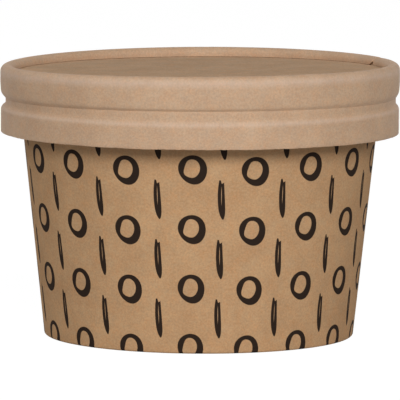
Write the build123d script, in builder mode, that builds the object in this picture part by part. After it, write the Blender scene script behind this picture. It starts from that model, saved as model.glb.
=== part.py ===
from build123d import *
from math import asin, atan, cos, hypot, radians, sin, tan
import os

# Paper soup cup with its press-on paper lid, in millimetres.
# +Z is up, and the origin is the centre of the foot, on the surface that the cup stands on.
# Each piece is board of one thickness, traced along the middle of its section and turned about Z.

# Cup: a cone of board, its top edge rolled outwards and its foot folded in round the base
cup_height = 61.15
rim_radius = 44.95
foot_radius = 36.18
cup_board = 0.4
roll_radius = 1.37
roll_turn = 285
foot_bend = 0.4
fold_height = 6.0
cup_lap_angle = 90
cup_lap_sweep = 18
cup_lap_above_foot = 0.5
cup_lap_below_roll = 1.0

# Base: a disc whose turned-down skirt is held in the foot's fold
floor_height = 8.0
base_board = 0.4
base_bend = 0.9

# Lid: a ring of board with a snap bead, its top edge turned in over a recessed panel
lid_board = 0.45
lid_height = 16.53
rim_bend = 1.6
panel_recess = 2.35
panel_bend = 0.3
rim_flare = 0.15
flare_rise = 2.6
bead_depth = 1.05
bead_rise = 1.5
bead_fall = 2.4
bead_below_roll = 2.41
bead_bend = 0.8
lid_lap_angle = 21
lid_lap_sweep = 16
lid_lap_below_rim = 0.8

# Notch at the foot of the turned-in end
notch_angle = 20.2
notch_width = 2.0
notch_height = 0.5

# Clearances, and how far a lap sinks into the board under it and stands off at its thin end
glue_gap = 0.05
seat_gap = 0.1
snap_gap = 0.05
lap_sink = 0.02
lap_feather = 0.03

# The wall leans so that its board runs into the inside of the roll
roll_middle = roll_radius - cup_board / 2
roll_center = (rim_radius - roll_radius, cup_height - roll_radius)
foot_middle = foot_radius - cup_board / 2
run_out = roll_center[0] - foot_middle
lean = atan(run_out / roll_center[1]) - asin(roll_middle / hypot(run_out, roll_center[1]))
roll_start = (
    roll_center[0] - roll_middle * cos(lean),
    roll_center[1] + roll_middle * sin(lean),
)

# The lid sits on the top of the roll, and its bead hooks in under the roll
panel_underside = cup_height + seat_gap
panel_middle = panel_underside + lid_board / 2
lid_crest = panel_underside + lid_board + panel_recess
lid_edge = lid_crest - lid_height
lid_radius = rim_radius + snap_gap + lid_board + bead_depth + rim_flare
bead_height = cup_height - 2 * roll_radius - bead_below_roll
rim_spring = lid_crest - rim_bend
leg_radius = lid_radius - 2 * rim_bend
leg_end = panel_underside + lid_board + glue_gap


def wall_radius(height, depth):
    """Radius at a height of the cone that lies a depth inside the wall's outer face."""
    return foot_radius + height * tan(lean) - depth / cos(lean)


def radial_plane(angle):
    """Upright plane through the axis, its x pointing outwards at an angle from +X."""
    turn = radians(angle)
    return Plane((0, 0, 0), x_dir=(cos(turn), sin(turn), 0), z_dir=(sin(turn), -cos(turn), 0))


def lap_axis(angle, board, sweep):
    """Upright axis beside the cup's own, about which a lap starts one board proud and runs out."""
    aside = (board - lap_sink - lap_feather) / (1 - cos(radians(sweep)))
    return Axis(radial_plane(angle).from_local_coords((aside, 0)), (0, 0, 1))


def band_line(top, lift=0.0):
    """Middle of the lid ring's board from the cut edge to a height on the band, lifted outwards."""
    rim_middle = lid_radius - lid_board / 2 + lift
    skirt_middle = rim_middle - rim_flare
    bead_top = bead_height + bead_rise
    return FilletPolyline(
        (skirt_middle, lid_edge),
        (skirt_middle, bead_height - bead_fall),
        (skirt_middle - bead_depth, bead_height),
        (skirt_middle, bead_top),
        (rim_middle, bead_top + flare_rise),
        (rim_middle, top),
        radius=bead_bend,
    )


# Cup wall: one blank, from the fold's edge round the foot and up to the end of the roll
fold_depth = 1.5 * cup_board + base_board + 2 * glue_gap
with BuildPart() as cup_wall:
    with BuildSketch(Plane.XZ) as wall_section:
        with BuildLine():
            wall_line = FilletPolyline(
                (wall_radius(fold_height, fold_depth), fold_height),
                (wall_radius(cup_board / 2, fold_depth), cup_board / 2),
                (wall_radius(cup_board / 2, cup_board / 2), cup_board / 2),
                roll_start,
                radius=foot_bend,
            )
            JernArc(wall_line @ 1, wall_line % 1, roll_middle, -roll_turn)
        trace(line_width=cup_board)
    revolve(axis=Axis.Z)

    # The blank's outer end lies over its inner end, down the back
    lap_depth = lap_sink - cup_board / 2
    lap_foot = cup_lap_above_foot
    lap_top = cup_height - 2 * roll_radius - cup_lap_below_roll
    with BuildSketch(radial_plane(cup_lap_angle)) as lap_section:
        with BuildLine():
            Line(
                (wall_radius(lap_foot, lap_depth), lap_foot),
                (wall_radius(lap_top, lap_depth), lap_top),
            )
        trace(line_width=cup_board)
    revolve(axis=lap_axis(cup_lap_angle, cup_board, cup_lap_sweep), revolution_arc=cup_lap_sweep)

# Cup base: a disc with a skirt down the inside of the wall, its lower edge in the fold
skirt_depth = cup_board + glue_gap + base_board / 2
skirt_foot = cup_board / 2 + foot_bend + glue_gap
floor_middle = floor_height - base_board / 2
with BuildPart() as cup_base:
    with BuildSketch(Plane.XZ) as base_section:
        with BuildLine():
            FilletPolyline(
                (0, floor_middle),
                (wall_radius(floor_middle, skirt_depth), floor_middle),
                (wall_radius(skirt_foot, skirt_depth), skirt_foot),
                radius=base_bend,
            )
        trace(line_width=base_board)
    revolve(axis=Axis.Z)

# Lid ring: one strip, from its cut edge over the bead and the rim to its turned-in end
with BuildPart() as lid_ring:
    with BuildSketch(Plane.XZ) as ring_section:
        with BuildLine():
            band = band_line(rim_spring)
            turn_in = JernArc(band @ 1, band % 1, rim_bend - lid_board / 2, 180)
            Line(turn_in @ 1, (leg_radius + lid_board / 2, leg_end))
        trace(line_width=lid_board)
    revolve(axis=Axis.Z)

    # The strip's outer end lies over its inner end
    with BuildSketch(radial_plane(lid_lap_angle)) as ring_lap_section:
        with BuildLine():
            band_line(rim_spring - lid_lap_below_rim, lift=lid_board - lap_sink)
        trace(line_width=lid_board)
    revolve(axis=lap_axis(lid_lap_angle, lid_board, lid_lap_sweep), revolution_arc=lid_lap_sweep)

    # The turned-in end stops short at a slant where the strip's two ends meet
    notch_place = radial_plane(notch_angle)
    notch_plane = Plane(
        notch_place.from_local_coords((leg_radius + lid_board / 2, leg_end)),
        x_dir=-notch_place.z_dir,
        z_dir=notch_place.x_dir,
    )
    with BuildSketch(notch_plane) as notch_outline:
        with BuildLine():
            Polyline(
                (0, -glue_gap),
                (notch_width, -glue_gap),
                (0, notch_height),
                close=True,
            )
        make_face()
    extrude(amount=lid_board, both=True, mode=Mode.SUBTRACT)

# Lid panel: a disc whose short flange stands between the turned-in end and the band
flange_middle = leg_radius + 1.5 * lid_board + glue_gap
with BuildPart() as lid_panel:
    with BuildSketch(Plane.XZ) as panel_section:
        with BuildLine():
            FilletPolyline(
                (0, panel_middle),
                (flange_middle, panel_middle),
                (flange_middle, rim_spring),
                radius=panel_bend,
            )
        trace(line_width=lid_board)
    revolve(axis=Axis.Z)

os.makedirs("parts", exist_ok=True)
for name, piece in (
    ("cup_wall", cup_wall),
    ("cup_base", cup_base),
    ("lid_ring", lid_ring),
    ("lid_panel", lid_panel),
):
    piece.part.label = name
    export_step(piece.part, f"parts/{name}.step")
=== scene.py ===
from math import asin, atan, atan2, ceil, cos, degrees, hypot, pi, radians, sin, tan

import bmesh
import bpy
import numpy as np
from mathutils import Matrix, Vector

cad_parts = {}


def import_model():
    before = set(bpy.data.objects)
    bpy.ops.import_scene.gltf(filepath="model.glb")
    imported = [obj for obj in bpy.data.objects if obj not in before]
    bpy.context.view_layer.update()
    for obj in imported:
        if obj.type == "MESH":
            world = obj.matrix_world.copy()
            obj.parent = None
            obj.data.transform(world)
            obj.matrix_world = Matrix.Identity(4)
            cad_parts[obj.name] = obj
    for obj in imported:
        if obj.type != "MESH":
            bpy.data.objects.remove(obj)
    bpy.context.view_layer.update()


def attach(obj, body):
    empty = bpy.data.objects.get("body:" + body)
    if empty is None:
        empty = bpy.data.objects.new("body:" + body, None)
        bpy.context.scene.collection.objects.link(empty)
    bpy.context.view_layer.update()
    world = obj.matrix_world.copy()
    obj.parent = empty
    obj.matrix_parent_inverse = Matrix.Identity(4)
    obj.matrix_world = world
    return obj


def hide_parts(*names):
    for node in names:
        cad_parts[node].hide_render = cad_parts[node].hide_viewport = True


# Paper soup cup with its lid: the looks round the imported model.
# Sections are in millimetres and meshes in metres. A bearing is in degrees round the cup,
# 0 at the front (-Y) and 90 at the right (+X), and a piece's columns start at its board's seam.

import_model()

MM = 0.001
RIGHT, LEFT, CUT_EDGE = 0, 1, 2

# How finely things are divided: in degrees, in millimetres, and in columns round the cup.
# A disc has no ring of faces inside its fan radius, and a cut end is bevelled this far.
ARC_STEP = 10
WALL_STEP = 1.6
RING_STEP = 0.8
DISC_STEP = 1.8
FAN_RADIUS = 5
CUT_BEVEL = 0.06
WALL_COLUMNS = 400
RING_COLUMNS = 720
DISC_COLUMNS = 240
SEAM_WIDTH = 0.06
STEP_WIDTH = 0.03
NOTCH_STEP_WIDTH = 0.02
SHARP_ANGLE = 38

# Length of section, in mm, in one unit of the paper map, and the cup's radius where it is to scale
MAP_LENGTH = 100
MAP_RADIUS = 40.5

# Cup, as in the model
CUP_HEIGHT = 61.15
RIM_RADIUS = 44.95
FOOT_RADIUS = 36.18
CUP_BOARD = 0.4
ROLL_RADIUS = 1.37
ROLL_TURN = 285
FOOT_BEND = 0.4
FOLD_HEIGHT = 6.0
FLOOR_HEIGHT = 8.0
BASE_BOARD = 0.4
BASE_BEND = 0.9
CUP_SEAM = -180
CUP_LAP_SWEEP = 18

# Lid, as in the model
LID_BOARD = 0.45
LID_HEIGHT = 16.53
RIM_BEND = 1.6
PANEL_RECESS = 2.35
PANEL_BEND = 0.3
RIM_FLARE = 0.15
FLARE_RISE = 2.6
BEAD_DEPTH = 1.05
BEAD_FALL = 2.4
BEAD_BELOW_ROLL = 2.41
LID_SEAM = 111
LID_LAP_SWEEP = 16
NOTCH_START = 110.2
NOTCH_SWEEP = 2.6
NOTCH_HEIGHT = 1.0
GLUE_GAP = 0.05
SEAT_GAP = 0.1
SNAP_GAP = 0.05

ROLL_MIDDLE = ROLL_RADIUS - CUP_BOARD / 2
ROLL_CENTER = (RIM_RADIUS - ROLL_RADIUS, CUP_HEIGHT - ROLL_RADIUS)
RUN_OUT = ROLL_CENTER[0] - (FOOT_RADIUS - CUP_BOARD / 2)
LEAN = atan(RUN_OUT / ROLL_CENTER[1]) - asin(ROLL_MIDDLE / hypot(RUN_OUT, ROLL_CENTER[1]))
PANEL_UNDERSIDE = CUP_HEIGHT + SEAT_GAP
LID_CREST = PANEL_UNDERSIDE + LID_BOARD + PANEL_RECESS
LID_RADIUS = RIM_RADIUS + SNAP_GAP + LID_BOARD + BEAD_DEPTH + RIM_FLARE
BEAD_HEIGHT = CUP_HEIGHT - 2 * ROLL_RADIUS - BEAD_BELOW_ROLL
RIM_SPRING = LID_CREST - RIM_BEND
LEG_RADIUS = LID_RADIUS - 2 * RIM_BEND
LEG_END = PANEL_UNDERSIDE + LID_BOARD + GLUE_GAP

# How the real lid departs from a true ring. Its bead has a short upper flank and a flat bottom.
CREST_SAG = 0.41
CREST_LEAN = 0.40
CREST_DROP = 0.04
SEAT_TILT = 0.40
BEAD_FRONT_DEPTH = 0.40
BEAD_SIDE_DEEPER = 0.52
BEAD_LEFT_DEEPER = 0.16
CREASE_RISE = 0.25
CREASE_LEAN = 0.20
CREASE_SAG = 0.45
LIP_DROP = 0.8
FLAT_HEIGHT = 1.6
UPPER_FLANK = 1.2
FRONT_SHARPER = 0.6
BEAD_BENDS = (1.0, 1.0, 0.25, 1.8, 4.0)
BEAD_MARGIN = 0.5
LIP_ABOVE_EDGE = 1
CREASE_BELOW_LIP = 2

# The wall's top leans with the lid over this height, and its lap fades in and out in these ranges
TILT_BELOW_ROLL = 12
WALL_LAP_ABOVE_FOOT = (0.1, 0.9)
WALL_LAP_BELOW_ROLL = 2.5
WALL_LAP_ABOVE_FLOOR = (0.3, 2.5)
WALL_LAP_INSIDE_PART = 0.7

# The ring's lap, the crest pressed down at its seam, and the length over which its notch is taken up
RING_LAP_BELOW_SPRING = (1.2, 0.2)
RING_LAP_FEATHER = 0.03
CREST_PRESSED = 0.1
CREST_PRESSED_SWEEP = 8
CREST_FROM_END = (6.0, 4.5)
NOTCH_REACH = 2.5

# The ring's cut edge: teeth of fibre, and slow waves round the cup
EDGE_REACH = 0.9
TEETH = 900
TEETH_PER_DEGREE = 2.4
TOOTH_HEIGHT = 0.12
WAVE_HEIGHT = 0.04
WAVES = (7, 17)


def wall_radius(height, depth):
    """Radius at a height of the cone that lies a depth inside the wall's outer face."""
    return FOOT_RADIUS + height * tan(LEAN) - depth / cos(LEAN)


def crest_rise(bearing):
    """How far the lid's crest stands above its true height: it dips at both sides, more at the left."""
    aside = np.sin(np.radians(bearing))
    return CREST_LEAN * aside - CREST_SAG * aside * aside - CREST_DROP


def bead_depth(bearing):
    """How deep the bead is: least at the front and back, and most at the left."""
    aside = np.sin(np.radians(bearing))
    return BEAD_FRONT_DEPTH + BEAD_SIDE_DEEPER * aside * aside - BEAD_LEFT_DEEPER * aside


def crease_rise(bearing):
    """How far the bead's crease stands above its true height."""
    aside = np.sin(np.radians(bearing))
    return CREASE_RISE + CREASE_LEAN * aside - CREASE_SAG * aside * aside


def seat_rise(bearing):
    """How far the panel's edge stands above its true height: the lid sits a little askew."""
    return SEAT_TILT * np.sin(np.radians(bearing))


# Sections

def arc(center, radius, start, sweep):
    """Points round an arc, its angles in degrees, with the first and last points included."""
    steps = max(2, ceil(abs(sweep) / ARC_STEP))
    turns = [radians(start + sweep * k / steps) for k in range(steps + 1)]
    return [(center[0] + radius * cos(t), center[1] + radius * sin(t)) for t in turns]


def rounded(corners, *bends):
    """Points along a line of straight runs, its inner corners rounded to one bend or to one each."""
    points = [corners[0]]
    each = bends * (len(corners) - 2) if len(bends) == 1 else bends
    for before, corner, after, bend in zip(corners, corners[1:], corners[2:], each):
        run_in = (Vector(before) - Vector(corner)).normalized()
        run_out = (Vector(after) - Vector(corner)).normalized()
        half = run_in.angle(run_out) / 2
        center = Vector(corner) + (run_in + run_out).normalized() * bend / sin(half)
        first = Vector(corner) + run_in * bend / tan(half) - center
        last = Vector(corner) + run_out * bend / tan(half) - center
        start = degrees(atan2(first.y, first.x))
        sweep = (degrees(atan2(last.y, last.x)) - start + 180) % 360 - 180
        points += arc(center, bend, start, sweep)
    return points + [corners[-1]]


def spaced(points, gap):
    """The same line with points added so that no run is longer than a gap."""
    line = [points[0]]
    for start, end in zip(points, points[1:]):
        steps = max(1, ceil(hypot(end[0] - start[0], end[1] - start[1]) / gap))
        for k in range(1, steps + 1):
            part = k / steps
            across = start[0] + (end[0] - start[0]) * part
            up = start[1] + (end[1] - start[1]) * part
            line.append((across, up))
    return line


class Strip:
    """A board's middle line, traced in a section, with the way out on its right at each point."""

    def __init__(self, points, board, disc=False):
        self.board = board
        self.disc = disc
        self.middle = np.array(points)
        along = np.gradient(self.middle, axis=0)
        along /= np.linalg.norm(along, axis=1)[:, None]
        self.way = np.stack([along[:, 1], -along[:, 0]], axis=1)
        runs = np.linalg.norm(np.diff(self.middle, axis=0), axis=1)
        self.distance = np.concatenate([[0], np.cumsum(runs)])
        self.length = float(self.distance[-1])
        self.marks = np.array(self.side_marks(1) + self.side_marks(-1)[::-1])

    def side_marks(self, side, edge=CUT_BEVEL):
        """Distance, side, inset and kind of each point of one side. Kind 0 is on a cut end."""
        start = [(0, side, 0, side)] if self.disc else [(0, side, edge, 0), (edge, side, 0, side)]
        end = [(self.length - edge, side, 0, side), (self.length, side, edge, 0)]
        return start + [(d, side, 0, side) for d in self.distance[1:-1]] + end

    def outline(self, cut=0.0, reach=NOTCH_REACH):
        """Closed outline, in rows of radius, height, way out (2), distance and kind.

        It runs up the right side and back down the left. A cut shortens the line's far end,
        and a disc's outline starts and ends on the axis.
        """
        distance, side, inset, kind = self.marks.T
        bend = self.length - reach
        shortened = bend + (distance - bend) * (reach - cut) / reach
        place = np.where(distance > bend, shortened, distance)
        middle = np.stack([np.interp(place, self.distance, c) for c in self.middle.T], axis=1)
        way = np.stack([np.interp(place, self.distance, c) for c in self.way.T], axis=1)
        way *= side[:, None]
        spots = middle + way * (self.board / 2 - inset)[:, None]
        return np.column_stack([spots, way, distance, kind])


# Turned pieces

def columns(seam, count, extra=()):
    """Bearings of the columns of a piece, from its seam round to just before it."""
    even = [seam + 360 * k / count for k in range(count)]
    return np.array(sorted(even + [seam + 360 - SEAM_WIDTH] + list(extra)))


class FlatMap:
    """A piece laid flat for its baked picture: strips one above another, and a disc's faces as circles.

    Each run of the outline on one side is a strip, which may be cut into parts round the cup.
    """

    # Gap round each strip, then how many parts a side's strip is cut into and how high each is
    GAP = 0.004
    TURNED_ROWS = {RIGHT: (2, 0.37), LEFT: (1, 0.2), CUT_EDGE: (1, 0.019)}
    DISC_ROWS = {RIGHT: (1, 0.2), LEFT: (1, 0.2), CUT_EDGE: (1, 0.08)}

    # A disc's circles, the least upward part of a level face's way out, and a nudge off a part's end
    CIRCLE_RADIUS = 0.25
    CIRCLE_ACROSS = {RIGHT: 0.25, LEFT: 0.75}
    CIRCLE_UP = 0.75
    LEVEL = 0.999
    NUDGE = 0.000001

    def __init__(self, outline, sides, disc):
        self.outline = outline
        self.sides = sides
        flat = np.abs(outline[:, 3]) > self.LEVEL
        self.circles = [disc and flat[i] and flat[(i + 1) % len(outline)] for i in range(len(sides))]
        self.radius = outline[flat, 0].max()
        rows = self.DISC_ROWS if disc else self.TURNED_ROWS
        steps = np.linalg.norm(np.diff(outline[:, :2], axis=0, append=outline[:1, :2]), axis=1)
        self.strips = []
        low = 0.0
        first = 0
        while first < len(sides):
            last = first
            while last < len(sides) and self.like(first, last):
                last += 1
            parts, height = rows[sides[first]]
            reached = np.concatenate([[0], np.cumsum(steps[first:last])]) / steps[first:last].sum()
            climb = self.GAP + reached * (height - 2 * self.GAP)
            for k in range(last - first):
                self.strips.append((low, parts, height, climb[k], climb[k + 1]))
            if not self.circles[first]:
                low += parts * height
            first = last

    def like(self, first, other):
        return self.sides[first] == self.sides[other] and self.circles[first] == self.circles[other]

    def corners(self, i, share, far_share):
        """Places of the four corners of a face on the run after point i."""
        k = (i + 1) % len(self.outline)
        if self.circles[i]:
            middle = self.CIRCLE_ACROSS[self.sides[i]]
            ends = ((i, share), (i, far_share), (k, far_share), (k, share))
            return [self.on_circle(middle, point, at) for point, at in ends]
        low, parts, height, start, end = self.strips[i]
        part = int(share * parts + self.NUDGE)
        near = self.GAP + (share * parts - part) * (1 - 2 * self.GAP)
        far = self.GAP + (far_share * parts - part) * (1 - 2 * self.GAP)
        low += part * height
        return [(near, low + start), (far, low + start), (far, low + end), (near, low + end)]

    def on_circle(self, middle, point, share):
        reach = self.outline[point, 0] / self.radius * (self.CIRCLE_RADIUS - self.GAP)
        return middle + reach * sin(2 * pi * share), self.CIRCLE_UP + reach * cos(2 * pi * share)


def turned(name, strip, bearings, outline_at, lift_at, body, node, paints):
    """A piece whose section is turned round the cup, each column lifted off its own outline."""
    outlines = np.array([outline_at(b) for b in bearings])
    lifts = np.array([lift_at(b) for b in bearings])
    radius = outlines[:, :, 0] + outlines[:, :, 2] * lifts
    height = outlines[:, :, 1] + outlines[:, :, 3] * lifts
    turn = np.radians(bearings)[:, None]
    places = np.stack([radius * np.sin(turn), -radius * np.cos(turn), height], axis=2) * MM
    count, size = radius.shape
    index = np.arange(count * size).reshape(count, size)
    if strip.disc:
        index[:, 0] = index[0, 0]
        index[:, -1] = index[0, -1]
    nexts = np.roll(index, -1, axis=0)
    share = (bearings - bearings[0]) / 360
    far_share = np.append(share[1:], 1)
    along = outlines[0, :, 4] / MAP_LENGTH
    kind = outlines[0, :, 5]
    sides = []
    for i in range(size - 1 if strip.disc else size):
        k = (i + 1) % size
        sides.append(CUT_EDGE if 0 in (kind[i], kind[k]) else RIGHT if kind[i] > 0 else LEFT)
    flat_map = FlatMap(outlines[0], sides, strip.disc)
    faces, spots, bake_spots, kinds = [], [], [], []
    for i, side in enumerate(sides):
        k = (i + 1) % size
        kinds += [side] * count
        for j in range(count):
            baked = flat_map.corners(i, share[j], far_share[j])
            corners = [
                (index[j, i], (share[j], along[i]), baked[0]),
                (nexts[j, i], (far_share[j], along[i]), baked[1]),
                (nexts[j, k], (far_share[j], along[k]), baked[2]),
                (index[j, k], (share[j], along[k]), baked[3]),
            ]
            kept = [c for n, c in enumerate(corners) if c[0] != corners[n - 1][0]]
            faces.append([int(c[0]) for c in kept])
            spots += [c[1] for c in kept]
            bake_spots += [c[2] for c in kept]
    mesh = bpy.data.meshes.new(name)
    mesh.from_pydata(places.reshape(-1, 3).tolist(), [], faces)
    paper = mesh.uv_layers.new(name="paper")
    paper.data.foreach_set("uv", np.array(spots, dtype=np.float32).ravel())
    baked_map = mesh.uv_layers.new(name="OFBake")
    baked_map.data.foreach_set("uv", np.array(bake_spots, dtype=np.float32).ravel())
    mesh.polygons.foreach_set("material_index", kinds)
    mesh.polygons.foreach_set("use_smooth", [True] * len(faces))
    mesh.update()
    mesh.set_sharp_from_angle(angle=radians(SHARP_ANGLE))
    if strip.disc:
        tidy_axis(mesh)
    for paint in paints:
        mesh.materials.append(paint)
    piece = bpy.data.objects.new(name, mesh)
    bpy.context.scene.collection.objects.link(piece)
    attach(piece, body)
    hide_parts(node)


def tidy_axis(mesh):
    """Takes out the spare points that a disc's columns leave on the axis."""
    shape = bmesh.new()
    shape.from_mesh(mesh)
    bmesh.ops.delete(shape, geom=[v for v in shape.verts if not v.link_faces], context="VERTS")
    shape.to_mesh(mesh)
    shape.free()


def ramp(value, low, high):
    """0 below low, 1 above high, and a smooth climb between them."""
    part = np.clip((value - low) / (high - low), 0, 1)
    return part * part * (3 - 2 * part)


# Materials

class Sum:
    """A number in a material's nodes, so that a formula can be written out as a plain sum."""

    def __init__(self, tree, socket):
        self.tree = tree
        self.socket = socket

    def does(self, operation, *others):
        node = self.tree.nodes.new("ShaderNodeMath")
        node.operation = operation
        for slot, value in zip(node.inputs, (self, *others)):
            if isinstance(value, Sum):
                self.tree.links.new(value.socket, slot)
            else:
                slot.default_value = value
        return Sum(self.tree, node.outputs[0])

    def __add__(self, other):
        return self.does("ADD", other)

    def __sub__(self, other):
        return self.does("SUBTRACT", other)

    def __mul__(self, other):
        return self.does("MULTIPLY", other)

    def __truediv__(self, other):
        return self.does("DIVIDE", other)

    def __pow__(self, other):
        return self.does("POWER", other)

    def __neg__(self):
        return self.does("MULTIPLY", -1.0)

    def above(self, least=0.0):
        return self.does("MAXIMUM", least)

    def below(self, most):
        return self.does("MINIMUM", most)

    def size(self):
        return self.does("ABSOLUTE")

    def off_nearest(self):
        """How far it is from the nearest whole number."""
        return self - self.does("ROUND")

    def clamped(self):
        return self.above(0.0).below(1.0)


def linear(red, green, blue):
    """Linear colour of an 8-bit screen colour, by the sRGB curve above its short straight foot."""
    return [((c / 255 + 0.055) / 1.055) ** 2.4 for c in (red, green, blue)]


class Paint:
    """A material's nodes and what they are made with."""

    def __init__(self, name):
        self.material = bpy.data.materials.new(name)
        self.material.use_nodes = True
        self.tree = self.material.node_tree
        self.shader = self.tree.nodes["Principled BSDF"]

    def node(self, kind, **settings):
        node = self.tree.nodes.new(kind)
        for key, value in settings.items():
            setattr(node, key, value)
        return node

    def link(self, value, slot):
        self.tree.links.new(value.socket if isinstance(value, Sum) else value, slot)

    def paper_map(self):
        """Share of the way round, and distance along the section in mm."""
        uv = self.node("ShaderNodeUVMap", uv_map="paper")
        parts = self.node("ShaderNodeSeparateXYZ")
        self.link(uv.outputs[0], parts.inputs[0])
        return Sum(self.tree, parts.outputs[0]), Sum(self.tree, parts.outputs[1]) * MAP_LENGTH

    def board_spot(self, round_mm):
        """Place on the flat board in mm: along the way round, and along the section."""
        uv = self.node("ShaderNodeUVMap", uv_map="paper")
        return self.scaled(uv.outputs[0], (round_mm, MAP_LENGTH, 1))

    def object_spot(self):
        """Place in the piece, in mm."""
        coords = self.node("ShaderNodeTexCoord")
        return self.scaled(coords.outputs["Object"], (1 / MM, 1 / MM, 1 / MM))

    def scaled(self, spot, scale, turn=0.0):
        mapping = self.node("ShaderNodeMapping")
        mapping.inputs["Scale"].default_value = scale
        mapping.inputs["Rotation"].default_value = (0, 0, radians(turn))
        self.link(spot, mapping.inputs["Vector"])
        return mapping.outputs[0]

    def noise(self, spot, size, detail=2.0, roughness=0.5, distortion=0.0):
        """Noise about 0, from about -1 to 1, whose lumps are about a size in mm."""
        node = self.node("ShaderNodeTexNoise")
        node.inputs["Scale"].default_value = 1 / size
        node.inputs["Detail"].default_value = detail
        node.inputs["Roughness"].default_value = roughness
        node.inputs["Distortion"].default_value = distortion
        self.link(spot, node.inputs["Vector"])
        return (Sum(self.tree, node.outputs["Fac"]) - 0.5) * 2.0

    def mixed(self, part, first, second, blend="MIX"):
        """Colour between two, by a part from 0 to 1."""
        node = self.node("ShaderNodeMix", data_type="RGBA", blend_type=blend)
        if isinstance(part, Sum):
            self.link(part, node.inputs[0])
        else:
            node.inputs[0].default_value = part
        for slot, colour in ((node.inputs[6], first), (node.inputs[7], second)):
            if isinstance(colour, (list, tuple)):
                slot.default_value = (*colour, 1)
            else:
                self.link(colour, slot)
        return node.outputs[2]

    def fibres(self, spot):
        """Fine fibres lying every way in the board: the sum of one layer from 0 to 1 for each way."""
        total = None
        for turn, stretch in FIBRE_LAYERS:
            lay = self.scaled(spot, (1 / stretch, 1, 1), turn)
            thread = (self.noise(lay, *FIBRES) * FIBRE_GAIN - FIBRE_LEAST).clamped()
            total = thread if total is None else total + thread
        return total

    def bumped(self, height, depth, strength):
        node = self.node("ShaderNodeBump")
        node.inputs["Distance"].default_value = depth * MM
        node.inputs["Strength"].default_value = strength
        self.link(height, node.inputs["Height"])
        self.link(node.outputs[0], self.shader.inputs["Normal"])


# Noises, each with its size in mm, its detail and its roughness
CLOUD = (8.0, 2.0, 0.5)
MOTTLE = (1.6, 2.0, 0.6)
GRAIN = (0.5, 3.0, 0.75)
FINE_HUE = (0.5, 3.0, 0.7)
WIDE_HUE = (2.4, 2.0, 0.6)
FLECKS = (0.5, 2.0, 0.6)
INK_WEAR = (0.6, 3.0, 0.7)
# This noise makes the lid's painted highlights patchy
HIGHLIGHT_PATCHES = (3.0, 2.0, 0.6)
RAW_GRAIN = (0.3, 4.0, 0.8)

# Fibres: the turn and the stretch of each layer, and their noise, which has a distortion too
FIBRE_LAYERS = ((18, 7), (-34, 6), (81, 7), (-72, 6))
FIBRES = (0.16, 1.0, 0.5, 0.6)
FIBRE_GAIN = 2.4
FIBRE_LEAST = 0.9

# How much each noise counts in the board's tone, in its hue and in its relief
CLOUD_TONE = 0.55
MOTTLE_TONE = 0.35
GRAIN_TONE = 1.3
FIBRE_TONE = 0.14
MEAN_TONE = 0.43
FINE_HUE_PART = 1.6
WIDE_HUE_PART = 1.1
HUE_TURN = 47
WARMER = [1.08, 0.97, 0.88]
COOLER = [0.93, 1.01, 1.09]
GRAIN_RELIEF = 0.6
FIBRE_RELIEF = 0.35
RELIEF_ROUGHNESS = 0.05

# Dark flecks in the board
FLECK_SCALE = (0.5, 1, 1)
FLECK_TURN = 25
FLECK_GAIN = 5.0
FLECK_LEAST = 2.6
FLECK_STRENGTH = 0.16
FLECK_COLOUR = [0.45, 0.36, 0.28]

CUP_LIGHT = linear(201, 163, 123)
CUP_DARK = linear(179, 141, 104)
LID_LIGHT = linear(202, 169, 138)
LID_DARK = linear(181, 149, 121)
PANEL_LIGHT = linear(212, 178, 146)
PANEL_DARK = linear(190, 158, 128)
RAW_LIGHT = linear(201, 172, 142)
RAW_DARK = linear(150, 118, 88)
# Pale colour of the painted highlights along the lid's lip and crest
PAINTED_HIGHLIGHT_COLOUR = linear(226, 205, 190)
INK_DARK = linear(41, 32, 27)
INK_LIGHT = linear(53, 42, 35)

# Half width in mm and strength of the lid's pale painted highlights along its lip and crest, and how
# patchy they are. The crest's lies this many degrees round the rim from its inner end.
LIP_PAINTED_HIGHLIGHT = (0.7, 0.22)
CREST_PAINTED_HIGHLIGHT = (1.3, 0.26)
CREST_HIGHLIGHT_TURN = 178
HIGHLIGHT_PATCHINESS = 0.6

# How shiny the lid's bare sides are
LID_SHINE = 0.25
PANEL_SHINE = 0.0


def kraft(paint, spot, light, dark):
    """Unbleached board: cloudy, grainy and full of fine fibres. Returns its colour and its height."""
    cloud = paint.noise(spot, *CLOUD) * CLOUD_TONE
    mottle = paint.noise(spot, *MOTTLE) * MOTTLE_TONE
    grain = paint.noise(spot, *GRAIN)
    threads = paint.fibres(spot)
    tone = (cloud + mottle + grain * GRAIN_TONE + threads * FIBRE_TONE + MEAN_TONE).clamped()
    colour = paint.mixed(tone, dark, light)
    aside = paint.scaled(spot, (1, 1, 1), HUE_TURN)
    hue = paint.noise(aside, *FINE_HUE) * FINE_HUE_PART + paint.noise(aside, *WIDE_HUE) * WIDE_HUE_PART
    colour = paint.mixed(hue.clamped(), colour, WARMER, "MULTIPLY")
    colour = paint.mixed((-hue).clamped(), colour, COOLER, "MULTIPLY")
    specks = paint.noise(paint.scaled(spot, FLECK_SCALE, FLECK_TURN), *FLECKS)
    fleck = (specks * FLECK_GAIN - FLECK_LEAST).clamped()
    colour = paint.mixed(fleck * FLECK_STRENGTH, colour, FLECK_COLOUR, "MULTIPLY")
    return colour, grain * GRAIN_RELIEF + threads * FIBRE_RELIEF


def finish(paint, colour, height, roughness, shine, depth=0.05, strength=0.35):
    """Gives a material its colour, its roughness and a fine relief, whose depth is in mm."""
    paint.link(colour, paint.shader.inputs["Base Color"])
    rough = (height * RELIEF_ROUGHNESS + roughness).clamped()
    paint.link(rough, paint.shader.inputs["Roughness"])
    paint.shader.inputs["Specular IOR Level"].default_value = shine
    paint.bumped(height, depth, strength)
    return paint.material


def cup_spot(paint):
    return paint.board_spot(2 * pi * MAP_RADIUS)


def lid_spot(paint):
    return paint.board_spot(2 * pi * LID_RADIUS)


def disc_spot(paint):
    return paint.object_spot()


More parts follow.
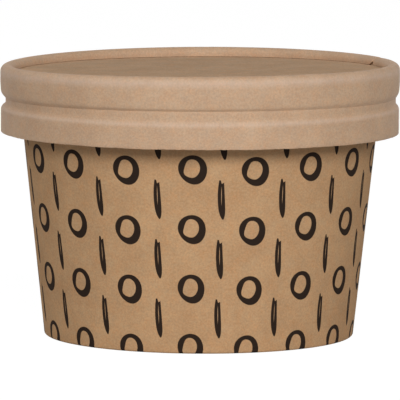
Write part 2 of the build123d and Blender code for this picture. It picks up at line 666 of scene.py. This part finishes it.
# Print: columns of rings, with a slit dash halfway between each four of them. Bearings are in
# degrees, and the rest is in mm, or in parts of a pitch where it says so.
FIRST_COLUMN = -3.2
COLUMN_PITCH = 20.9
COLUMN_PITCH_MM = 14.05
COLUMN_SLANT = 0.24
FIRST_ROW = 28.92
ROW_PITCH = 13.82
SHARPNESS = 12.0
INK_SPREAD = 0.035

# Of each five columns, the first ones stand aside, and those this far off the middle stand lower
REPEAT = 5
ASIDE_COLUMNS = 2
LOWER_COLUMNS_OFF = 1.5
RING_ASIDE = 0.36
RING_LOWER = 0.5

# Ring: an egg, and a hole with a flat left and a flat lower left, each by its slopes and distance
EGG_CENTER = (-0.151, 0.148)
EGG_RADII = (3.067, 3.327)
EGG_SKEW = 0.164
EGG_DENT = -0.025
EGG_SIDE_DENT = 0.039
EGG_MEAN_RADIUS = 3.2
HOLE_CENTER = (-0.48, 0.336)
HOLE_RADII = (1.864, 2.198)
HOLE_SKEW = -0.088
HOLE_MEAN_RADIUS = 2.03
LEFT_CHORD = (0.964, -0.265, 1.549)
LOWER_LEFT_CHORD = (0.364, 0.931, 2.164)
CHORD_BLEND = 0.82

# Dash: its place in parts of a pitch. Its fall is 0 at the top and 1 at the foot, and its middle
# line leans by parts of the fall squared, of the fall and of 1. It tapers at the top and the foot.
DASH_PLACE = (0.492, 0.49)
DASH_TOP = 4.7
DASH_LENGTH = 9.3
DASH_BEND = (0.85, -0.25, -0.13)
DASH_HALF_WIDTH = 0.76
DASH_TAPER = -1.1
DASH_TAPER_END = 0.5
DASH_FOOT_FROM = 0.55
DASH_FOOT_REACH = 0.43
DASH_FOOT_POWERS = (2.6, 0.6)
DASH_FOOT_WIDTH = 0.82
DASH_FOOT_INSET = 0.06

# Its forked top, steep to a spike on the left and flat on the right, and its slit, which leans
FORK_PLACE = (-0.05, 3.87)
FORK_STEEP = 3.5
FORK_FLAT = 0.6
SPIKE_HEIGHT = 0.85
SLIT_TOP = 3.4
SLIT_LENGTH = 4.6
SLIT_ASIDE = -0.10
SLIT_LEAN = 0.12
SLIT_HALF_WIDTH = 0.1
SLIT_POWER = 0.7


def cup_print(paint, foot_distance):
    """Where the ink is, from 0 to 1. Columns stand on the cup's slant, and a ring's sizes are in mm."""
    share, distance = paint.paper_map()
    row = (distance - foot_distance - FIRST_ROW) / ROW_PITCH
    bearing = share * 360.0 + CUP_SEAM
    column = (bearing - row * COLUMN_SLANT - FIRST_COLUMN) / COLUMN_PITCH
    ink = ring(column, row).does("MAXIMUM", dash(column, row))
    return ((ink + INK_SPREAD) * SHARPNESS + 0.5).clamped()


def ring(column, row):
    """Inside a ring, in mm: an egg with an off-centre hole cut by two chords.

    The columns repeat by fives. Two of them stand aside, the first the farther, and two a little lower.
    """
    place = column.does("ROUND").does("FLOORED_MODULO", REPEAT)
    aside = (-place + ASIDE_COLUMNS).above()
    lower = (place - REPEAT / 2).size().does("COMPARE", LOWER_COLUMNS_OFF, 0.25)
    x = column.off_nearest() * COLUMN_PITCH_MM - aside * RING_ASIDE
    y = row.off_nearest() * ROW_PITCH + lower * RING_LOWER
    across = (x - EGG_CENTER[0]) / EGG_RADII[0]
    up = (y - EGG_CENTER[1]) / EGG_RADII[1]
    dent = (across * across * 3.0 - up * up) * up * EGG_DENT
    side_dent = (across * across - up * up * 3.0) * across * EGG_SIDE_DENT
    outside = (across * across + across * up * EGG_SKEW + up * up + dent + side_dent).above() ** 0.5
    hole_x = x - HOLE_CENTER[0]
    hole_y = y - HOLE_CENTER[1]
    hole_across = hole_x / HOLE_RADII[0]
    hole_up = hole_y / HOLE_RADII[1]
    span = (hole_across * hole_across + hole_across * hole_up * HOLE_SKEW + hole_up * hole_up) ** 0.5
    hole = (-span + 1.0) * HOLE_MEAN_RADIUS
    for along_x, along_y, out in (LEFT_CHORD, LOWER_LEFT_CHORD):
        chord = hole_x * along_x + hole_y * along_y + out
        hole = hole.does("SMOOTH_MIN", chord, CHORD_BLEND)
    return ((-outside + 1.0) * EGG_MEAN_RADIUS).below(-hole)


def dash(column, row):
    """Inside a dash, in mm: a leaf with a forked top, a rounded foot and a narrow slit."""
    x = (column - DASH_PLACE[0]).off_nearest() * COLUMN_PITCH_MM
    y = (row - DASH_PLACE[1]).off_nearest() * ROW_PITCH
    fall = (-y + DASH_TOP) / DASH_LENGTH
    middle = fall * fall * DASH_BEND[0] + fall * DASH_BEND[1] + DASH_BEND[2]
    upper = (-fall + DASH_TAPER_END).above() ** 2.0 * DASH_TAPER + DASH_HALF_WIDTH
    past = (fall - DASH_FOOT_FROM).above() / DASH_FOOT_REACH
    foot = (-(past ** DASH_FOOT_POWERS[0]) + 1.0).above() ** DASH_FOOT_POWERS[1]
    leaf = upper.below(foot * DASH_FOOT_WIDTH - DASH_FOOT_INSET) - (x - middle).size()
    off_fork = x - FORK_PLACE[0]
    spike = ((-off_fork).above() * FORK_STEEP).below(SPIKE_HEIGHT)
    fork = spike + off_fork.above() * FORK_FLAT + FORK_PLACE[1] - y
    down = (-y + SLIT_TOP) / SLIT_LENGTH
    slit_width = (down * (-down + 1.0) * 4.0).above() ** SLIT_POWER * SLIT_HALF_WIDTH
    slit = slit_width - (x - SLIT_ASIDE - down * SLIT_LEAN).size()
    return leaf.below(fork).below(-slit)


def printed_board(foot_distance):
    paint = Paint("cup_printed_board")
    colour, height = kraft(paint, cup_spot(paint), CUP_LIGHT, CUP_DARK)
    ink = cup_print(paint, foot_distance)
    worn = (paint.noise(cup_spot(paint), *INK_WEAR) * 0.25 + 0.5).clamped()
    inked = paint.mixed(worn, INK_DARK, INK_LIGHT)
    return finish(paint, paint.mixed(ink, colour, inked), height, roughness=0.72, shine=0.02)


def coated_board(name, light, dark, spot):
    """The food side, with its thin glossy coat."""
    paint = Paint(name)
    colour, height = kraft(paint, spot(paint), light, dark)
    return finish(paint, colour, height, roughness=0.42, shine=0.25, depth=0.03, strength=0.2)


def bare_board(name, light, dark, spot, shine=0.03, painted_highlights=()):
    """Uncoated board, with pale painted highlights along lines given by distance, half width and
    strength.
    """
    paint = Paint(name)
    colour, height = kraft(paint, spot(paint), light, dark)
    # Each line paints a pale highlight over the board's colour
    for line, reach, strength in painted_highlights:
        off = (paint.paper_map()[1] - line).size()
        patchy = paint.noise(spot(paint), *HIGHLIGHT_PATCHES) * HIGHLIGHT_PATCHINESS + 1.0
        part = ((-off + reach) / reach).clamped() * patchy * strength
        colour = paint.mixed(part.clamped(), colour, PAINTED_HIGHLIGHT_COLOUR)
    return finish(paint, colour, height, roughness=0.6, shine=shine)


def raw_edge(name):
    """The board's cut edge, where its fibres stand open."""
    paint = Paint(name)
    spot = paint.object_spot()
    tone = (paint.noise(spot, *RAW_GRAIN) * 0.9 + 0.5).clamped()
    colour = paint.mixed(tone, RAW_DARK, RAW_LIGHT)
    return finish(paint, colour, tone, roughness=0.85, shine=0.05, depth=0.12, strength=0.6)


# Cup

def cup_wall():
    bottom = CUP_BOARD / 2
    fold_depth = 1.5 * CUP_BOARD + BASE_BOARD + 2 * GLUE_GAP
    roll_start = (
        ROLL_CENTER[0] - ROLL_MIDDLE * cos(LEAN),
        ROLL_CENTER[1] + ROLL_MIDDLE * sin(LEAN),
    )
    folded = rounded(
        [
            (wall_radius(FOLD_HEIGHT, fold_depth), FOLD_HEIGHT),
            (wall_radius(bottom, fold_depth), bottom),
            (wall_radius(bottom, bottom), bottom),
            roll_start,
        ],
        FOOT_BEND,
    )
    roll = arc(ROLL_CENTER, ROLL_MIDDLE, 180 - degrees(LEAN), -ROLL_TURN)
    strip = Strip(spaced(folded[:-1] + roll, WALL_STEP), CUP_BOARD)
    outline = strip.outline()
    distance = outline[:, 4]
    roll_at = strip.length - ROLL_MIDDLE * radians(ROLL_TURN)
    foot_at = roll_at - roll_start[1] / cos(LEAN)
    above_foot = ramp(distance, *(foot_at + h for h in WALL_LAP_ABOVE_FOOT))
    on_wall = above_foot * (1 - ramp(distance, roll_at - WALL_LAP_BELOW_ROLL, roll_at))
    above_floor = ramp(distance, *(foot_at + FLOOR_HEIGHT + h for h in WALL_LAP_ABOVE_FLOOR))
    outside = on_wall * (outline[:, 5] > 0)
    inside = on_wall * above_floor * (outline[:, 5] < 0)
    inner_end = CUP_SEAM + CUP_LAP_SWEEP / 2
    near_roll = ramp(distance, roll_at - TILT_BELOW_ROLL, roll_at)

    def askew(bearing):
        rows = outline.copy()
        rows[:, 1] += near_roll * (seat_rise(bearing) - SEAT_TILT) / 2
        return rows

    def lift(bearing):
        outer = CUP_BOARD * max(0.0, 1 - (bearing - CUP_SEAM) / CUP_LAP_SWEEP)
        under = 1.0 if bearing < inner_end else max(0.0, 1 - (CUP_SEAM + 360 - bearing) / CUP_LAP_SWEEP)
        return outside * outer + inside * under * CUP_BOARD * WALL_LAP_INSIDE_PART

    turned(
        "cup_wall_board",
        strip,
        columns(CUP_SEAM, WALL_COLUMNS, (inner_end - STEP_WIDTH, inner_end + STEP_WIDTH)),
        askew,
        lift,
        "cup",
        "cup_wall",
        [
            printed_board(foot_at),
            coated_board("cup_inner_board", CUP_LIGHT, CUP_DARK, cup_spot),
            raw_edge("cup_raw_edge"),
        ],
    )


def cup_base():
    skirt_depth = CUP_BOARD + GLUE_GAP + BASE_BOARD / 2
    skirt_foot = CUP_BOARD / 2 + FOOT_BEND + GLUE_GAP
    floor_middle = FLOOR_HEIGHT - BASE_BOARD / 2
    line = rounded(
        [
            (0, floor_middle),
            (wall_radius(floor_middle, skirt_depth), floor_middle),
            (wall_radius(skirt_foot, skirt_depth), skirt_foot),
        ],
        BASE_BEND,
    )
    turned_disc("cup_base_board", line, BASE_BOARD, "cup", "cup_base", [
        bare_board("base_under_board", CUP_LIGHT, CUP_DARK, disc_spot),
        coated_board("base_food_board", CUP_LIGHT, CUP_DARK, disc_spot),
        raw_edge("base_raw_edge"),
    ])


def turned_disc(name, line, board, body, node, paints, askew=None):
    """A turned piece whose line starts on the axis, its heights shifted by askew where it is given."""
    fan_edge = (FAN_RADIUS, line[0][1])
    strip = Strip([line[0]] + spaced([fan_edge] + line[1:], DISC_STEP), board, disc=True)
    outline = strip.outline()
    bearings = np.linspace(-180, 180, DISC_COLUMNS, endpoint=False)

    def outline_at(bearing):
        rows = outline.copy()
        if askew:
            rows[:, 1] += askew(outline, bearing)
        return rows

    turned(name, strip, bearings, outline_at, lambda b: 0 * outline[:, 0], body, node, paints)


# Lid

def lid_ring():
    rim_middle = LID_RADIUS - LID_BOARD / 2
    skirt = rim_middle - RIM_FLARE
    edge = LID_CREST - LID_HEIGHT
    lip = BEAD_HEIGHT - BEAD_FALL
    bead_top = BEAD_HEIGHT + UPPER_FLANK
    side = rounded(
        [
            (skirt, edge),
            (skirt, lip),
            (skirt - BEAD_DEPTH, BEAD_HEIGHT - FLAT_HEIGHT),
            (skirt - BEAD_DEPTH, BEAD_HEIGHT),
            (skirt, bead_top),
            (rim_middle, bead_top + FLARE_RISE),
            (rim_middle, RIM_SPRING),
        ],
        *BEAD_BENDS,
    )
    turn = RIM_BEND - LID_BOARD / 2
    rim = arc((rim_middle - turn, RIM_SPRING), turn, 0, 180)
    leg = [(LEG_RADIUS + LID_BOARD / 2, LEG_END)]
    strip = Strip(spaced(side[:-1] + rim + leg, RING_STEP), LID_BOARD)
    plain = strip.outline()
    height = plain[:, 1]
    outer = plain[:, 5] > 0
    on_band = plain[:, 0] > LEG_RADIUS + 2 * LID_BOARD
    pressed_in = (skirt + plain[:, 2] * LID_BOARD / 2 - plain[:, 0]).clip(0) / BEAD_DEPTH
    bead = pressed_in * on_band * (height < bead_top + BEAD_MARGIN)
    lip_heights = [edge + LIP_ABOVE_EDGE, lip, BEAD_HEIGHT - FLAT_HEIGHT / 2]
    near_lip = np.interp(height, lip_heights, [0, 1, 0]) * on_band
    crease_heights = [lip - CREASE_BELOW_LIP, lip, bead_top, RIM_SPRING]
    near_crease = np.interp(height, crease_heights, [0, 1, 1, 0]) * on_band
    over_crease = np.interp(height, [BEAD_HEIGHT, bead_top, RIM_SPRING], [0, 1, 0]) * on_band
    low_edge = np.clip(1 - plain[:, 4] / EDGE_REACH, 0, 1)
    down_leg = ((RIM_SPRING - height) / (RIM_SPRING - LEG_END)).clip(0, 1) * ~on_band
    on_crest = np.where(on_band, ramp(height, bead_top, RIM_SPRING), 1 - down_leg)
    lap = outer * on_band * (1 - ramp(height, *(RIM_SPRING - d for d in RING_LAP_BELOW_SPRING)))
    crest = outer * ramp(plain[:, 4], *(strip.length - d for d in CREST_FROM_END))
    # Painted highlights: pale lines along the lip and the crest, where light catches these bends
    off_lip = np.where(outer & on_band, np.abs(height - lip), np.inf)
    lip_at = float(plain[np.argmin(off_lip), 4])
    crest_at = strip.length - (RIM_SPRING - LEG_END) - turn * radians(CREST_HIGHLIGHT_TURN)
    painted_highlights = [(lip_at, *LIP_PAINTED_HIGHLIGHT), (crest_at, *CREST_PAINTED_HIGHLIGHT)]
    teeth = np.random.default_rng(7).uniform(0, 1, TEETH)

    def outline(bearing):
        past = (bearing - NOTCH_START) % 360
        cut = NOTCH_HEIGHT * (1 - past / NOTCH_SWEEP) if past < NOTCH_SWEEP else 0
        rows = strip.outline(max(cut, 0))
        rows[:, 0] += bead * (BEAD_DEPTH - bead_depth(bearing))
        rows[:, 1] += on_crest * crest_rise(bearing) + down_leg * seat_rise(bearing)
        rows[:, 1] += near_crease * crease_rise(bearing)
        frontal = cos(radians(bearing)) ** 2
        rows[:, 1] -= over_crease * UPPER_FLANK * FRONT_SHARPER * frontal
        rows[:, 1] -= near_lip * LIP_DROP * frontal
        tooth = teeth[int((bearing - LID_SEAM) * TEETH_PER_DEGREE) % TEETH] ** 3 * TOOTH_HEIGHT
        waves = sin(radians(bearing * WAVES[0])) * sin(radians(bearing * WAVES[1]))
        rows[:, 1] += low_edge * (tooth + WAVE_HEIGHT * (1 + waves))
        return rows

    def lift(bearing):
        outer_lap = (LID_BOARD - RING_LAP_FEATHER) * max(0.0, 1 - (bearing - LID_SEAM) / LID_LAP_SWEEP)
        pressed = CREST_PRESSED * max(0.0, 1 - (LID_SEAM + 360 - bearing) / CREST_PRESSED_SWEEP)
        return lap * outer_lap - crest * pressed

    notch_at = NOTCH_START + 360
    turned(
        "lid_ring_board",
        strip,
        columns(LID_SEAM, RING_COLUMNS, (notch_at - NOTCH_STEP_WIDTH, notch_at + NOTCH_STEP_WIDTH)),
        outline,
        lift,
        "lid",
        "lid_ring",
        [
            bare_board("lid_outer_board", LID_LIGHT, LID_DARK, lid_spot, LID_SHINE, painted_highlights),
            coated_board("lid_inner_board", LID_LIGHT, LID_DARK, lid_spot),
            raw_edge("lid_raw_edge"),
        ],
    )


def lid_panel():
    middle = PANEL_UNDERSIDE + LID_BOARD / 2
    flange = LEG_RADIUS + 1.5 * LID_BOARD + GLUE_GAP
    line = rounded([(0, middle), (flange, middle), (flange, RIM_SPRING)], PANEL_BEND)

    def askew(outline, bearing):
        up = ((outline[:, 1] - LEG_END) / (RIM_SPRING - LEG_END)).clip(0, 1)
        tilted = seat_rise(bearing) * outline[:, 0] / flange
        return tilted * (1 - up) + crest_rise(bearing) * up

    turned_disc("lid_panel_board", line, LID_BOARD, "lid", "lid_panel", [
        coated_board("panel_under_board", LID_LIGHT, LID_DARK, disc_spot),
        bare_board("panel_top_board", PANEL_LIGHT, PANEL_DARK, disc_spot, PANEL_SHINE),
        raw_edge("panel_raw_edge"),
    ], askew)


# Studio, in metres, with the camera's angles in radians

FLOOR_REACH = 6.0
FLOOR_WHITE = 1.14
FLOOR_SHOWN_WHITE = 0.85
FLOOR_GREY = 0.65
ROOM_LIGHT = 0.12

# Lamps: name, bearing and elevation in degrees, and power
LAMPS = (
    ("key", 7, 27, 11.6),
    ("key_left", -30, 27, 8.2),
    ("key_right", 35, 27, 8.2),
    ("back", -120, 50, 3.2),
    ("low_right", 62, 8, 0.4),
)
LAMP_AIM = Vector((0, 0, 0.03))
LAMP_DISTANCE = 1.8
LAMP_SIZE = 0.67

CAMERA_PLACE = (0.00014, -1.1372, 0.1524)
CAMERA_TILT = 0.106
CAMERA_ROLL = 0.006
CAMERA_LENS = 439.35
CAMERA_REACH = 50


def seen_or_shining(tree):
    """1 for what the camera or a reflection sees, and 0 for what only lights."""
    path = tree.nodes.new("ShaderNodeLightPath")
    shining = Sum(tree, path.outputs["Is Glossy Ray"])
    return Sum(tree, path.outputs["Is Camera Ray"]).does("MAXIMUM", shining)


def floor():
    """Plain floor that the camera sees nearly white, with the cup's soft shadow on it."""
    mesh = bpy.data.meshes.new("studio_floor")
    turns = ((-1, -1), (1, -1), (1, 1), (-1, 1))
    corners = [(FLOOR_REACH * x, FLOOR_REACH * y, 0) for x, y in turns]
    mesh.from_pydata(corners, [], [(0, 1, 2, 3)])
    paint = bpy.data.materials.new("studio_floor")
    paint.use_nodes = True
    tree = paint.node_tree
    tree.nodes.clear()
    white = tree.nodes.new("ShaderNodeEmission")
    white.inputs["Strength"].default_value = FLOOR_WHITE
    matt = tree.nodes.new("ShaderNodeBsdfDiffuse")
    matt.inputs["Color"].default_value = (FLOOR_GREY, FLOOR_GREY, FLOOR_GREY, 1)
    mix = tree.nodes.new("ShaderNodeMixShader")
    out = tree.nodes.new("ShaderNodeOutputMaterial")
    part = seen_or_shining(tree) * FLOOR_SHOWN_WHITE
    tree.links.new(part.socket, mix.inputs[0])
    tree.links.new(matt.outputs[0], mix.inputs[1])
    tree.links.new(white.outputs[0], mix.inputs[2])
    tree.links.new(mix.outputs[0], out.inputs[0])
    mesh.materials.append(paint)
    plane = bpy.data.objects.new("studio_floor", mesh)
    bpy.context.scene.collection.objects.link(plane)


def world():
    """Pale room light, seen as plain white by the camera and in reflections."""
    sky = bpy.data.worlds.new("studio")
    bpy.context.scene.world = sky
    sky.use_nodes = True
    tree = sky.node_tree
    shine = tree.nodes["Background"]
    shine.inputs["Color"].default_value = (1, 1, 1, 1)
    level = seen_or_shining(tree) * (1 - ROOM_LIGHT) + ROOM_LIGHT
    tree.links.new(level.socket, shine.inputs["Strength"])


def lamp(name, bearing, elevation, power):
    """Square soft lamp that shines at the cup from a bearing and an elevation in degrees."""
    light = bpy.data.lights.new(name, "AREA")
    light.shape = "SQUARE"
    light.size = LAMP_SIZE
    light.energy = power
    lamp_object = bpy.data.objects.new(name, light)
    turn, rise = radians(bearing), radians(elevation)
    way = Vector((sin(turn) * cos(rise), -cos(turn) * cos(rise), sin(rise)))
    lamp_object.location = LAMP_AIM + way * LAMP_DISTANCE
    lamp_object.rotation_euler = way.to_track_quat("Z", "Y").to_euler()
    bpy.context.scene.collection.objects.link(lamp_object)


def camera():
    lens = bpy.data.cameras.new("camera")
    lens.lens = CAMERA_LENS
    lens.clip_end = CAMERA_REACH
    eye = bpy.data.objects.new("camera", lens)
    eye.location = CAMERA_PLACE
    level = Matrix.Rotation(pi / 2 - CAMERA_TILT, 3, "X")
    eye.rotation_euler = (level @ Matrix.Rotation(CAMERA_ROLL, 3, "Z")).to_euler()
    bpy.context.scene.collection.objects.link(eye)
    bpy.context.scene.camera = eye


bpy.context.scene.view_settings.view_transform = "Standard"
camera()
floor()
world()
for name, bearing, elevation, power in LAMPS:
    lamp(name, bearing, elevation, power)

cup_wall()
cup_base()
lid_ring()
lid_panel()
